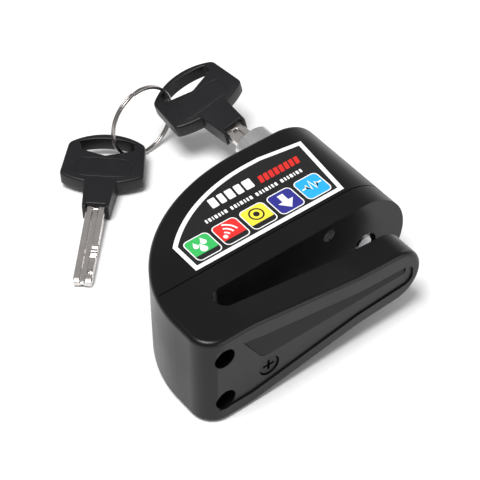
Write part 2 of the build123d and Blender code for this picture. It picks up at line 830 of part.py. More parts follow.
keep("alarm_board", block(cradle_left, cradle_right, board_low, board_high, board_z, board_z + board_thick))
chip_z = board_z + board_thick
with BuildPart() as control_chip:
    with BuildSketch(Plane.XY.offset(chip_z)):
        with Locations((chip_x, chip_y)):
            Rectangle(chip_length, chip_width)
    extrude(amount=chip_high)
    chamfer(control_chip.faces().sort_by(Axis.Z)[-1].edges(), 0.2)
keep("control_chip", control_chip.part)
with BuildPart() as sounder_coil:
    add(tube(upright(coil_x, coil_y), chip_z, chip_z + coil_high, coil_r, coil_core_r))
keep("sounder_coil", sounder_coil.part)
with BuildPart() as capacitors:
    for y in capacitor_y:
        add(rod(upright(capacitor_x, y), chip_z, chip_z + capacitor_high, capacitor_r))
    fillet(capacitors.edges().group_by(Axis.Z)[-1], 0.4)
keep("capacitors", capacitors.part)
with BuildPart() as shock_sensor:
    sensor_axis = Plane(origin=(0, sensor_y, chip_z + sensor_r), x_dir=(0, 1, 0), z_dir=(1, 0, 0))
    add(rod(sensor_axis, sensor_left, sensor_right, sensor_r))
    fillet(shock_sensor.edges().group_by(Axis.X)[-1], 0.4)
keep("shock_sensor", shock_sensor.part)

buzzer_axis = Plane(origin=(buzzer_x, 0, mid_z), x_dir=(1, 0, 0), z_dir=(0, 1, 0))
disc_low = buzzer_y + buzzer_disc_low
disc_high = disc_low + buzzer_disc_thick
buzzer_disc = rod(buzzer_axis, disc_low, disc_high, buzzer_disc_r)
with BuildPart() as buzzer_case:
    add(rod(buzzer_axis, buzzer_y, buzzer_y + buzzer_h, buzzer_d / 2))
    chamber = rod(buzzer_axis, buzzer_y - 1, buzzer_y + buzzer_h - 1.0, buzzer_d / 2 - buzzer_wall)
    add(chamber, mode=Mode.SUBTRACT)
    add(buzzer_disc, mode=Mode.SUBTRACT)
keep("buzzer_case", buzzer_case.part)
keep("buzzer_disc", buzzer_disc)

plunger_inner = switch_tip_x - plunger_length
with BuildPart() as arming_switch:
    add(
        block(
            cradle_right + 0.3,
            switch_right - gap,
            switch_y - switch_half_y,
            switch_y + switch_half_y,
            mid_z - switch_half_z,
            mid_z + switch_half_z,
        )
    )
    plunger_hole = rod(switch_axis, plunger_inner - plunger_stroke - gap, barrel_x, plunger_r + running)
    add(plunger_hole, mode=Mode.SUBTRACT)
keep("arming_switch", arming_switch.part)
with BuildPart() as switch_plunger:
    add(rod(switch_axis, plunger_inner, switch_tip_x, plunger_r))
    fillet(switch_plunger.edges().group_by(Axis.X)[-1], 0.4)
keep("switch_plunger", switch_plunger.part)


# ---------------------------------------------------------------- keys
def key_bow(key_plane):
    """The plastic bow and neck, in a plane with V towards the bow's top."""
    with BuildPart() as bow:
        with BuildSketch(key_plane.offset(-bow_thick / 2)) as outline:
            with BuildLine():
                ThreePointArc(
                    (-bow_top_half, bow_shoulder_v), (0, bow_arch_v), (bow_top_half, bow_shoulder_v)
                )
                Line((bow_top_half, bow_shoulder_v), (bow_low_half, bow_low_v))
                ThreePointArc(
                    (bow_low_half, bow_low_v), (0, neck_length - 0.2), (-bow_low_half, bow_low_v)
                )
                Line((-bow_low_half, bow_low_v), (-bow_top_half, bow_shoulder_v))
            make_face()
            fillet(outline.vertices(), bow_corner_r)
        extrude(amount=bow_thick)
        fillet(bow.faces().filter_by(key_plane).edges(), bow_edge)
        with BuildSketch(key_plane.offset(-neck_thick / 2)):
            with BuildLine():
                Polyline(
                    (-neck_end_half, 0),
                    (neck_end_half, 0),
                    (neck_root_half, neck_length + 1.5),
                    (-neck_root_half, neck_length + 1.5),
                    close=True,
                )
            make_face()
            for side in (-1, 1):
                with Locations((side * (neck_end_half - prong_width / 2), -prong / 2)):
                    Rectangle(prong_width, prong)
        extrude(amount=neck_thick)
        with BuildSketch(key_plane.offset(-bow_thick)) as opening:
            with BuildLine():
                ThreePointArc((-hole_half, hole_end_v), (0, hole_arch_v), (hole_half, hole_end_v))
                Polyline(
                    (hole_half, hole_end_v),
                    (hole_half, hole_end_v - hole_end_height),
                    (0, hole_low_v),
                    (-hole_half, hole_end_v - hole_end_height),
                    (-hole_half, hole_end_v),
                )
            make_face()
            fillet(opening.vertices(), 0.8)
        extrude(amount=2 * bow_thick, mode=Mode.SUBTRACT)
        for side in (-1, 1):
            with BuildSketch(key_plane.offset(side * bow_thick / 2)):
                with Locations((0, oval_v)):
                    SlotOverall(oval_length, oval_height)
                    SlotOverall(oval_length - 1.0, oval_height - 1.0, mode=Mode.SUBTRACT)
            extrude(amount=0.25, both=True, mode=Mode.SUBTRACT)
        with BuildSketch(key_plane.offset(-blade_thick / 2)):
            rect(-blade_width / 2, blade_width / 2, -prong - 1, blade_in_neck)
        extrude(amount=blade_thick, mode=Mode.SUBTRACT)
    return bow.part


def key_blade(key_plane):
    """The flat blade with a groove down each face and cuts in one land."""
    with BuildPart() as blade:
        with BuildSketch(key_plane.offset(-blade_thick / 2)) as flat:
            rect(-blade_width / 2, blade_width / 2, -blade_length, blade_in_neck)
            chamfer(flat.vertices().group_by(Axis.Y)[0], 0.9)
        extrude(amount=blade_thick)
        for side in (-1, 1):
            with BuildSketch(key_plane.offset(side * blade_thick / 2)):
                rect(-groove_width / 2, groove_width / 2, -blade_length - 1, -0.4)
            extrude(amount=groove_depth, both=True, mode=Mode.SUBTRACT)
            with BuildSketch(key_plane.offset(side * blade_thick / 2)):
                for v in dimple_v:
                    with Locations((side * dimple_u, v)):
                        Circle(dimple_r)
            extrude(amount=dimple_depth, both=True, mode=Mode.SUBTRACT)
    return blade.part


yaw = radians(key_2_yaw)
pitch = radians(key_2_pitch)
key_2_z = blade_length * sin(pitch) + blade_thick / 2 * cos(pitch) + lying_gap
key_1_plane = Plane(
    origin=(barrel_x, neck_y, mid_z), x_dir=turned_x, z_dir=(-sin(turn), 0, cos(turn))
)
key_2_plane = Plane(
    origin=(key_2_x, key_2_y, key_2_z),
    x_dir=(sin(yaw), -cos(yaw), 0),
    z_dir=(-sin(pitch) * cos(yaw), -sin(pitch) * sin(yaw), cos(pitch)),
)
for number, key_plane in ((1, key_1_plane), (2, key_2_plane)):
    keep(f"key_{number}_bow", key_bow(key_plane))
    keep(f"key_{number}_blade", key_blade(key_plane))

ring_turn = radians(ring_yaw)
lean = radians(ring_lean)
ring_plane = Plane(
    origin=(ring_x, ring_y, ring_z),
    x_dir=(cos(ring_turn), sin(ring_turn), 0),
    z_dir=(sin(ring_turn) * cos(lean), -cos(ring_turn) * cos(lean), sin(lean)),
)
with BuildPart() as key_ring:
    with BuildSketch(ring_plane):
        Circle(ring_r + ring_radial / 2)
        Circle(ring_r - ring_radial / 2, mode=Mode.SUBTRACT)
    extrude(amount=ring_axial / 2, both=True)
    fillet(key_ring.edges(), 0.3)
keep("key_ring", key_ring.part)


for name, part in parts.items():
    export_step(part, f"parts/{name}.step")
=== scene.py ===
"""Looks for an alarm disc lock with two keys on a split ring.

Every length below is in millimetres and turns into metres where a mesh is made.
X runs along the disc slot to its mouth, Y towards the push cylinder, Z up from
the flat back face.
"""

from math import atan2, cos, pi, radians, sin

import bpy
import numpy as np
from bpy.props import FloatProperty, FloatVectorProperty, IntProperty, PointerProperty
from mathutils import Matrix, Vector
from mathutils.geometry import tessellate_polygon


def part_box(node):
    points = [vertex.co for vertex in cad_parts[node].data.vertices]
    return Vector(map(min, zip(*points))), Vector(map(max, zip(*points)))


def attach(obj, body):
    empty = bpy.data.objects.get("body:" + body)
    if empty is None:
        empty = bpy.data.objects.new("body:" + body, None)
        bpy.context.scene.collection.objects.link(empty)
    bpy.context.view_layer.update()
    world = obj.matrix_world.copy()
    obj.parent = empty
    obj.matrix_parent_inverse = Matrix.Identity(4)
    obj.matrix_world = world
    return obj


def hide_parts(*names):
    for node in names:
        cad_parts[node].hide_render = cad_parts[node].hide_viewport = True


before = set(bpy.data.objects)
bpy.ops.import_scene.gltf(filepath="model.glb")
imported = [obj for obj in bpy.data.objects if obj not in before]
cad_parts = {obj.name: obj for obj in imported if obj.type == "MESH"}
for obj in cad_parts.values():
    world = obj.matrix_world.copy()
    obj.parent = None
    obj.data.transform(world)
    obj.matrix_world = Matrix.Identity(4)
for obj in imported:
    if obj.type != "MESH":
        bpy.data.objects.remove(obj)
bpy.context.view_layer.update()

bl_info = {
    "name": "Disc Lock Finisher",
    "version": (1, 0, 0),
    "blender": (4, 5, 0),
    "location": "3D View > Sidebar > Disc Lock",
    "description": "Builds the label, keys, ring and finishes of a disc lock",
    "category": "Object",
}

MM = 0.001

# key 1 stands in the plug; key 2 lies with its blade's tip on the floor
KEY_1_NECK = (62.8, 65.8, 16.25)
KEY_1_TURN = 13.0
KEY_2_NECK = (16.64, 74.31)
KEY_2_YAW = 47.2
KEY_2_PITCH = 4.0
BLADE_LENGTH = 29.4
BLADE_IN_NECK = 8.0
BLADE_HALF_WIDE = 2.9
BLADE_HALF_THICK = 1.3
FLOOR_GAP = 0.05

# the split ring's circle and how its plane is turned
RING_RADIUS = 11.65
RING_YAW = 5.01
RING_LEAN = 6.2
RING_CUT_AT = 100.0

# the label's left curve, where its top edge bends, and its lower right corner
LABEL_CURVE_CENTRE = (46.0, 1.0)
LABEL_CURVE_REACH = 46.4
LABEL_BEND = 50.0
LABEL_RIGHT = 61.7
LABEL_FALL = 2.2
LABEL_GAP = 0.05

# the camera: turn about Z, dip below level and roll, in degrees, then lengths
VIEW_TURN = 37.052
VIEW_DIP = 45.511
VIEW_ROLL = 0.714
VIEW_TARGET = (31.5, 5.0, 16.266)
VIEW_DISTANCE = 525.132
VIEW_SHIFT = (-10.298, 14.169)


# ------------------------------------------------------------------ settings
def length(name, default, description):
    """A length property in millimetres."""
    return FloatProperty(name=name, default=default, min=0.0, description=description)


def colour(name, default, description):
    """A linear colour property."""
    return FloatVectorProperty(
        name=name, default=default, size=3, min=0.0, max=1.0, subtype="COLOR", description=description
    )


def power(name, default, description):
    """A lamp's power in watts."""
    return FloatProperty(name=name, default=default, unit="POWER", description=description)


class LockFinishes(bpy.types.PropertyGroup):
    """Colours of the lock's castings and metal parts."""

    casting: colour("Castings", (0.0030, 0.0025, 0.0031), "Black coat of both castings")
    moulding: colour("Mouldings", (0.0060, 0.0054, 0.0066), "Black plastic of the key bows and small parts")
    nickel: colour("Nickel", (0.80, 0.76, 0.74), "Key blades and split ring")
    chrome: colour("Cylinder", (0.88, 0.88, 0.89), "Satin plated push cylinder")
    steel: colour("Steel", (0.58, 0.58, 0.60), "Pins, dowels and bushes")
    dark_steel: colour("Oiled steel", (0.06, 0.06, 0.065), "Screws and the core strip")
    brass: colour("Brass", (0.76, 0.55, 0.24), "Key plug and its pins")


class LabelSizes(bpy.types.PropertyGroup):
    """Sizes and colours of the printed label."""

    border: length("Border", 1.35, "Width of the white border line")
    border_inset: length("Border inset", 0.15, "Black edge left outside the white border")
    tile: length("Tile", 7.95, "Side of each coloured tile")
    tile_pitch: length("Tile pitch", 9.74, "Distance between neighbouring tiles")
    tile_left: length("First tile", 12.2, "Where the first tile starts along the slot")
    tile_low: length("Tile row", 14.65, "Where the tile row starts above the slot")
    tile_round: length("Tile corner", 1.3, "Corner radius of a tile")
    caption: length("Caption strip", 1.75, "Height of the black strip under the first tiles")
    white: colour("White print", (0.86, 0.86, 0.86), "Border, outlines and marks")
    red_print: colour("Red print", (0.62, 0.02, 0.015), "Second half of the title bars")
    green: colour("Green tile", (0.035, 0.44, 0.10), "First tile")
    red: colour("Red tile", (0.74, 0.022, 0.018), "Second tile")
    yellow: colour("Yellow tile", (0.82, 0.68, 0.045), "Third tile")
    navy: colour("Navy tile", (0.022, 0.022, 0.23), "Fourth tile")
    cyan: colour("Cyan tile", (0.015, 0.37, 0.75), "Fifth tile")


class KeySizes(bpy.types.PropertyGroup):
    """Sizes of the keys' bows and of the split ring."""

    bow_thick: length("Bow thickness", 5.0, "Thickness of the plastic bow")
    bow_round: length("Bow edge", 0.7, "Edge radius of the bow")
    hole_round: length("Hole edge", 0.45, "Edge radius of the ring hole")
    neck_thick: length("Neck thickness", 5.8, "Thickness of the neck")
    oval_rise: length("Oval rise", 0.16, "Height of the raised oval line on each face")
    wire: length("Ring wire", 0.96, "Radial thickness of the ring's wire")
    strand: length("Strand width", 0.72, "Width of one turn of the ring")
    turns: IntProperty(name="Ring turns", default=2, min=1, max=3, description="Turns of the split ring")


class StudioSettings(bpy.types.PropertyGroup):
    """Floor, lights and camera."""

    floor: colour("Floor", (0.90, 0.90, 0.90), "Floor colour")
    overhead: power("Overhead light", 19.0, "Power of the overhead panel")
    front: power("Front light", 6.0, "Power of the low front panel")
    side: power("Side light", 3.0, "Power of the right side panel")
    world: FloatProperty(name="Surroundings", default=0.36, min=0.0, description="Brightness of the room")
    lens: FloatProperty(name="Lens", default=140.06, min=1.0, description="Focal length in millimetres")


class LockSettings(bpy.types.PropertyGroup):
    """All settings of the disc lock."""

    finishes: PointerProperty(type=LockFinishes)
    label: PointerProperty(type=LabelSizes)
    keys: PointerProperty(type=KeySizes)
    studio: PointerProperty(type=StudioSettings)


# ------------------------------------------------------------------ outlines
def even_path(points, step):
    """A closed path with points at even distances: each new point is linear between two corners."""
    loop = np.vstack([points, points[:1]])
    reach = np.r_[0, np.cumsum(np.linalg.norm(np.diff(loop, axis=0), axis=1))]
    count = max(12, int(round(reach[-1] / step)))
    at = np.linspace(0, reach[-1], count, endpoint=False)
    return np.c_[np.interp(at, reach, loop[:, 0]), np.interp(at, reach, loop[:, 1])]


def softened(points, step, blur):
    """A closed path with its corners eased: a bell-shaped average of width blur runs along it."""
    path = even_path(np.asarray(points, float), step)
    z = np.fft.fft(path[:, 0] + 1j * path[:, 1])
    waves = np.fft.fftfreq(len(path), d=step)
    z = np.fft.ifft(z * np.exp(-2 * (pi * waves * blur) ** 2))
    return np.c_[z.real, z.imag]


def arc(centre, radius_u, radius_v, start, end, count):
    """Points of an ellipse's arc: centre plus (ru cos a, rv sin a) for a from start to end."""
    a = np.linspace(start, end, count)
    return np.c_[centre[0] + radius_u * np.cos(a), centre[1] + radius_v * np.sin(a)]


def three_point_arc(a, b, c, count=25):
    """The circular arc through three points, by their common centre."""
    (ax, ay), (bx, by), (cx, cy) = a, b, c
    d = 2 * (ax * (by - cy) + bx * (cy - ay) + cx * (ay - by))
    sa, sb, sc = ax * ax + ay * ay, bx * bx + by * by, cx * cx + cy * cy
    ox = (sa * (by - cy) + sb * (cy - ay) + sc * (ay - by)) / d
    oy = (sa * (cx - bx) + sb * (ax - cx) + sc * (bx - ax)) / d
    radius = np.hypot(ax - ox, ay - oy)
    start = atan2(ay - oy, ax - ox)
    sweep = (atan2(cy - oy, cx - ox) - start + pi) % (2 * pi) - pi
    return arc((ox, oy), radius, radius, start, start + sweep, count)


def rounded_box(x0, x1, y0, y1, radius, count=7):
    """A rectangle with quarter-circle corners."""
    corners = [(x1, y0, -pi / 2), (x1, y1, 0), (x0, y1, pi / 2), (x0, y0, pi)]
    signs = [(-1, 1), (-1, -1), (1, -1), (1, 1)]
    return np.vstack(
        [
            arc((x + sx * radius, y + sy * radius), radius, radius, a, a + pi / 2, count)
            for (x, y, a), (sx, sy) in zip(corners, signs)
        ]
    )


def counter_clockwise(loop):
    """The same closed path, run so that its inside lies to the left."""
    x, y = loop[:, 0], loop[:, 1]
    area = np.sum(x * np.roll(y, -1) - np.roll(x, -1) * y)
    return loop if area > 0 else loop[::-1]


def inward(loop):
    """Unit vectors to the left of a closed path, from the chord between each point's neighbours."""
    chord = np.roll(loop, -1, axis=0) - np.roll(loop, 1, axis=0)
    left = np.c_[-chord[:, 1], chord[:, 0]]
    return left / np.maximum(np.linalg.norm(left, axis=1, keepdims=True), 1e-12)


def stroke(points, width):
    """A line of constant width: the points moved half a width to each side, then joined."""
    p = np.asarray(points, float)
    d = np.gradient(p, axis=0)
    n = np.c_[-d[:, 1], d[:, 0]] / np.linalg.norm(d, axis=1, keepdims=True)
    return np.vstack([p + n * width / 2, (p - n * width / 2)[::-1]])


# ------------------------------------------------------------------ meshes
class Skin:
    """Collects grids and caps into one mesh."""

    def __init__(self):
        self.points = []
        self.faces = []
        self.count = 0

    def add(self, points, faces):
        """Adds points of shape (n, 3) and faces that count from the first of them."""
        self.points.append(np.asarray(points, float))
        self.faces.extend([tuple(int(i) + self.count for i in face) for face in faces])
        self.count += len(points)

    def grid(self, rows, close_rows=False, close_columns=True):
        """A surface from an (n, m, 3) array; quads join neighbouring rows and columns."""
        n, m, _ = rows.shape
        i = np.arange(n if close_rows else n - 1)[:, None]
        j = np.arange(m if close_columns else m - 1)[None, :]
        a, b = i * m + j, i * m + (j + 1) % m
        c, d = ((i + 1) % n) * m + (j + 1) % m, ((i + 1) % n) * m + j
        quads = np.stack([a, b, c, d], axis=-1).reshape(-1, 4)
        self.add(rows.reshape(-1, 3), quads)

    def cap(self, loops, place, up):
        """A flat face inside the first loop and outside the others; place puts (u, v) in space."""
        lines = [[Vector((p[0], p[1], 0)) for p in loop] for loop in loops]
        flat = np.vstack(loops)
        triangles = np.array(tessellate_polygon(lines))
        a, b, c = (flat[triangles[:, k]] for k in range(3))
        turn = (b[:, 0] - a[:, 0]) * (c[:, 1] - a[:, 1]) - (b[:, 1] - a[:, 1]) * (c[:, 0] - a[:, 0])
        wrong = (turn < 0) if up else (turn > 0)
        triangles[wrong] = triangles[wrong][:, ::-1]
        self.add(place(flat), triangles[np.abs(turn) > 1e-12])

    def finish(self, name, material, smooth=35.0):
        """Makes the object at the origin, in metres, with edges sharper than the limit kept crisp."""
        mesh = bpy.data.meshes.new(name)
        mesh.from_pydata((np.vstack(self.points) * MM).tolist(), [], self.faces)
        mesh.validate()
        mesh.polygons.foreach_set("use_smooth", np.ones(len(mesh.polygons), bool))
        mesh.set_sharp_from_angle(angle=radians(smooth))
        mesh.materials.append(material)
        obj = bpy.data.objects.new(name, mesh)
        bpy.context.collection.objects.link(obj)
        weld = obj.modifiers.new("weld", "WELD")
        weld.merge_threshold = 2e-6
        return obj


def slab(skin, outer, holes, low, high, edge, to_space, hole_edge=None, steps=4):
    """A plate between two heights with rounded edges.

    Each rim point moves along the inward direction by edge (1 - sin a) and in
    height by edge (1 - cos a) from its face, a from 0 to a right angle.
    """
    a = np.linspace(0, pi / 2, steps + 1)
    top_loops, low_loops = [], []
    for index, loop in enumerate([outer, *holes]):
        loop = counter_clockwise(np.asarray(loop, float))
        round_by = edge if index == 0 or hole_edge is None else hole_edge
        side = inward(loop) * (1 if index == 0 else -1)
        shift = np.r_[round_by * (1 - np.sin(a)), round_by * (1 - np.sin(a))[::-1]]
        height = np.r_[low + round_by * (1 - np.cos(a)), (high - round_by * (1 - np.cos(a)))[::-1]]
        ring = loop[None] + side[None] * shift[:, None, None]
        rows = to_space(ring.reshape(-1, 2), np.repeat(height, len(loop)))
        rows = rows.reshape(len(height), len(loop), 3)
        skin.grid(rows if index == 0 else rows[::-1])
        low_loops.append(ring[0])
        top_loops.append(ring[-1])
    skin.cap(top_loops, lambda p: to_space(p, np.full(len(p), high)), True)
    skin.cap(low_loops, lambda p: to_space(p, np.full(len(p), low)), False)


def level(points, heights):
    """Puts a plan point and a height straight into the row frame."""
    return np.c_[points, heights]


def in_plane(origin, u, v, w):
    """A placer for points (u, v) and heights w on a turned plane."""
    origin, axes = np.asarray(origin, float), np.array([u, v, w], float)
    return lambda points, heights: origin + np.c_[points, heights] @ axes


# ------------------------------------------------------------------ materials
def shader(name):
    """A new material with its node tree and main shader."""
    mat = bpy.data.materials.new(name)
    mat.use_nodes = True
    return mat, mat.node_tree.nodes, mat.node_tree.links, mat.node_tree.nodes["Principled BSDF"]


def object_coords(nodes, links, stretch=(1, 1, 1)):
    """Object coordinates through a mapping that stretches the pattern."""
    coords = nodes.new("ShaderNodeTexCoord")
    mapping = nodes.new("ShaderNodeMapping")
    mapping.inputs["Scale"].default_value = stretch
    links.new(coords.outputs["Object"], mapping.inputs["Vector"])
    return mapping.outputs["Vector"]


def noise(nodes, links, vector, scale, detail=3.0, rough=0.5):
    """A noise pattern of the given scale, as a 0 to 1 value."""
    node = nodes.new("ShaderNodeTexNoise")
    node.inputs["Scale"].default_value = scale
    node.inputs["Detail"].default_value = detail
    node.inputs["Roughness"].default_value = rough
    links.new(vector, node.inputs["Vector"])
    return node.outputs["Fac"]


def remap(nodes, links, value, low, high, start=0.3, end=0.7):
    """Maps a pattern value from start..end to low..high."""
    node = nodes.new("ShaderNodeMapRange")
    node.inputs["From Min"].default_value = start
    node.inputs["From Max"].default_value = end
    node.inputs["To Min"].default_value = low
    node.inputs["To Max"].default_value = high
    links.new(value, node.inputs["Value"])
    return node.outputs["Result"]


def tint(nodes, links, factor, first, second):
    """Mixes two colours by a 0 to 1 value."""
    ramp = nodes.new("ShaderNodeValToRGB")
    ramp.color_ramp.elements[0].color = (*first, 1)
    ramp.color_ramp.elements[1].color = (*second, 1)
    links.new(factor, ramp.inputs["Fac"])
    return ramp.outputs["Color"]


def bump(nodes, links, height, strength, distance):
    """A bump of a pattern, in metres of height."""
    node = nodes.new("ShaderNodeBump")
    node.inputs["Strength"].default_value = strength
    node.inputs["Distance"].default_value = distance
    links.new(height, node.inputs["Height"])
    return node.outputs["Normal"]


def coated(name, base, rough, texture, depth, coat=0.0, lift=1.5, gloss=0.27):
    """A painted or moulded black: fine grain bump, patchy gloss and slight tone changes."""
    mat, nodes, links, main = shader(name)
    where = object_coords(nodes, links)
    broad = noise(nodes, links, where, 45.0, 2.0)
    fine = noise(nodes, links, where, texture, 3.0, 0.6)
    main.inputs["Specular IOR Level"].default_value = gloss
    main.inputs["Coat Weight"].default_value = coat
    main.inputs["Coat Roughness"].default_value = 0.25
    paler = tuple(c * lift for c in base)
    links.new(tint(nodes, links, broad, base, paler), main.inputs["Base Color"])
    links.new(remap(nodes, links, broad, rough - 0.05, rough + 0.06), main.inputs["Roughness"])
    links.new(bump(nodes, links, fine, 0.35, depth), main.inputs["Normal"])
    return mat


def metal(name, base, rough, stretch, scale, depth):
    """Bare or plated metal: long thin scratches from a stretched noise."""
    mat, nodes, links, main = shader(name)
    where = object_coords(nodes, links, stretch)
    lines = noise(nodes, links, where, scale, 4.0, 0.65)
    main.inputs["Metallic"].default_value = 1.0
    darker = tuple(c * 0.93 for c in base)
    links.new(tint(nodes, links, lines, darker, base), main.inputs["Base Color"])
    links.new(remap(nodes, links, lines, rough - 0.04, rough + 0.05), main.inputs["Roughness"])
    links.new(bump(nodes, links, lines, 0.25, depth), main.inputs["Normal"])
    return mat


def print_ink(name, base):
    """Printed ink under clear film: even colour with faint mottling and a soft gloss."""
    mat, nodes, links, main = shader(name)
    where = object_coords(nodes, links)
    mottle = noise(nodes, links, where, 900.0, 2.0)
    paler = tuple(min(1.0, c * 1.06 + 0.002) for c in base)
    links.new(tint(nodes, links, mottle, base, paler), main.inputs["Base Color"])
    links.new(remap(nodes, links, mottle, 0.38, 0.46), main.inputs["Roughness"])
    main.inputs["Specular IOR Level"].default_value = 0.4
    return mat


def dress(node, material):
    """Gives a CAD node a finish."""
    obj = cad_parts[node]
    if not obj.material_slots:
        obj.data.materials.append(material)
    for place in obj.material_slots:
        place.material = material


# ------------------------------------------------------------------ operators
class DISCLOCK_OT_castings(bpy.types.Operator):
    """Finishes both castings, the back cover and their screws"""

    bl_idname = "disclock.castings"
    bl_label = "Finish Castings"

    def execute(self, context):
        look = context.scene.disc_lock.finishes
        casting = coated("casting_black", look.casting, 0.34, 2600.0, 0.00003)
        moulding = coated("moulded_black", look.moulding, 0.46, 3500.0, 0.00003)
        dark = metal("oiled_steel", look.dark_steel, 0.42, (1, 1, 1), 900.0, 0.00002)
        for node in ("jaw_frame", "alarm_housing"):
            dress(node, casting)
        for node in ("back_cover", "sound_meshes"):
            dress(node, moulding)
        for node in ("cover_screws", "housing_screws", "jaw_core"):
            dress(node, dark)
        dress("jaw_screw", moulding)
        return {"FINISHED"}


class DISCLOCK_OT_lockwork(bpy.types.Operator):
    """Finishes the push cylinder, plug, pins, bushes, spring and latch"""

    bl_idname = "disclock.lockwork"
    bl_label = "Finish Lockwork"

    def execute(self, context):
        look = context.scene.disc_lock.finishes
        chrome = metal("satin_chrome", look.chrome, 0.24, (1, 0.15, 1), 1500.0, 0.0000015)
        steel = metal("ground_steel", look.steel, 0.28, (1, 0.08, 1), 1800.0, 0.00001)
        brass = metal("turned_brass", look.brass, 0.30, (1, 0.1, 1), 2000.0, 0.00001)
        rubber = coated("seal_rubber", look.moulding, 0.62, 3000.0, 0.00004)
        dress("lock_barrel", chrome)
        for node in (
            "lock_pin", "pin_bush", "strike_bush", "strip_dowels", "stop_pin",
            "keeper_pin", "latch_bolt", "return_spring",
        ):
            dress(node, steel)
        for node in ("key_plug", "tumbler_pins", "plug_cam", "barrel_sleeve"):
            dress(node, brass)
        dress("barrel_wiper", rubber)
        return {"FINISHED"}


class DISCLOCK_OT_alarm(bpy.types.Operator):
    """Finishes the alarm's cells, board, sounder and switch"""

    bl_idname = "disclock.alarm"
    bl_label = "Finish Alarm Parts"

    def execute(self, context):
        look = context.scene.disc_lock.finishes
        moulding = coated("case_moulding", look.moulding, 0.5, 3500.0, 0.00003)
        board = coated("board_mask", (0.01, 0.10, 0.035), 0.35, 2200.0, 0.00002)
        copper = metal("coil_wire", (0.62, 0.26, 0.12), 0.30, (1, 1, 8), 1400.0, 0.00005)
        plate = metal("cell_plate", look.nickel, 0.30, (1, 1, 1), 900.0, 0.00001)
        for node in ("battery_cradle", "buzzer_case", "arming_switch", "switch_plunger", "control_chip"):
            dress(node, moulding)
        for node in (
            "button_cells", "link_contact", "pole_contacts", "capacitors", "shock_sensor", "buzzer_disc",
        ):
            dress(node, plate)
        dress("alarm_board", board)
        dress("sounder_coil", copper)
        return {"FINISHED"}


def label_outline(inset):
    """The label's outline, moved inwards.

    To the left runs a quarter ellipse from the top edge to the left edge.  The
    top edge falls beyond its bend and the right edge leans.  Both straight
    edges are moved along their own normals, and their corner is where
    y = top - slope (x - bend) meets x = right + lean (y - low).
    """
    low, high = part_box("label_plate")
    x0, y0 = low[0] / MM + inset, low[1] / MM + inset
    top = high[1] / MM - inset
    centre_x, centre_y = LABEL_CURVE_CENTRE
    along, up = LABEL_CURVE_REACH - inset, top - centre_y
    share = (x0 - centre_x) / along
    left = atan2(np.sqrt(max(0.0, 1 - share**2)), share)
    curve = arc(LABEL_CURVE_CENTRE, along, up, pi / 2, left, 48)
    corner_x = high[0] / MM - LABEL_GAP
    lean = (corner_x - LABEL_RIGHT) / (top + inset - LABEL_FALL - y0 + inset)
    slope = LABEL_FALL / (corner_x - LABEL_BEND)
    shift_x = inset * np.hypot(1, lean)
    shift_y = inset * (np.hypot(1, slope) - 1)
    right_low = (LABEL_RIGHT - shift_x + lean * inset, y0)
    across = (top - shift_y - y0 - slope * (right_low[0] - LABEL_BEND)) / (1 + slope * lean)
    right_top = (right_low[0] + lean * across, y0 + across)
    return np.vstack([curve, [(x0, y0), right_low, right_top, (LABEL_BEND, top)]])


def leaning(x0, x1, y0, y1, radius, lean):
    """A rounded box whose top is pushed to the right by lean times its height."""
    box = rounded_box(x0, x1, y0, y1, radius)
    return np.c_[box[:, 0] + lean * (box[:, 1] - y0), box[:, 1]]


def drop(x, y, size):
    """A drop: a circle whose upper half is drawn out to a point."""
    a = np.linspace(0, 2 * pi, 33)[:-1]
    lift = np.where(np.sin(a) > 0, 1 + 0.9 * np.sin(a) ** 3, 1.0)
    pull = np.where(np.sin(a) > 0, 1 - 0.55 * np.sin(a) ** 2, 1.0)
    return np.c_[x + size * pull * np.cos(a), y + size * lift * np.sin(a)]


def circle(x, y, radius, count=41):
    """A closed circle."""
    return arc((x, y), radius, radius, 0, 2 * pi, count)[:-1]


def title_bars():
    """Five upright bars of the title's white half: left edge and width of each."""
    bars = [(27.4, 2.4), (30.6, 1.9), (33.3, 2.4), (36.5, 2.2), (39.5, 2.9)]
    return [leaning(x, x + w, 28.7, 32.4, 0.35, 0.12) for x, w in bars]


def red_title_bars():
    """Eight leaning bars of the title's red half."""
    left, pitch, width = 44.4, 1.84, 1.4
    starts = [left + i * pitch for i in range(8)]
    return [leaning(x, x + width, 28.5, 31.3, 0.25, 0.25) for x in starts]


def small_bars():
    """A row of small bars whose widths follow a sine, with a space after each seventh."""
    at, gap, shapes = 22.4, 0.5, []
    for i in range(31):
        width = 0.62 + 0.28 * sin(2.4 * i)
        if i % 8 != 7:
            shapes.append(leaning(at, at + width, 25.0, 26.35, 0.12, 0.1))
        at += width + gap
    return shapes


def tile_shape(x, side, foot, top, radius, square_foot):
    """A coloured tile's outline; a square foot ends the colour straight above a black strip."""
    left, right = x + 0.05, x + side - 0.05
    tile = rounded_box(left, right, foot, top - 0.05, radius)
    if square_foot:
        quarter = len(tile) // 4
        tile[tile[:, 1] < foot + radius, 1] = foot
        tile[:quarter, 0] = np.linspace(right - 0.95, right, quarter)
        tile[-quarter:, 0] = np.linspace(left, left + 0.95, quarter)
    return tile


def drop_marks(x, y):
    """Three drops."""
    return [drop(x - 1.5, y + 1.0, 0.85), drop(x + 1.3, y + 1.4, 0.95), drop(x - 0.1, y - 0.8, 1.15)]


def wave_marks(x, y):
    """A dot and three arcs round it."""
    centre = (x - 2.4, y - 0.9)
    waves = [stroke(arc(centre, 1.6 + 1.5 * i, 1.6 + 1.5 * i, 0.15, 1.2, 12), 0.55) for i in range(3)]
    return [*waves, circle(*centre, 0.7, 25)]


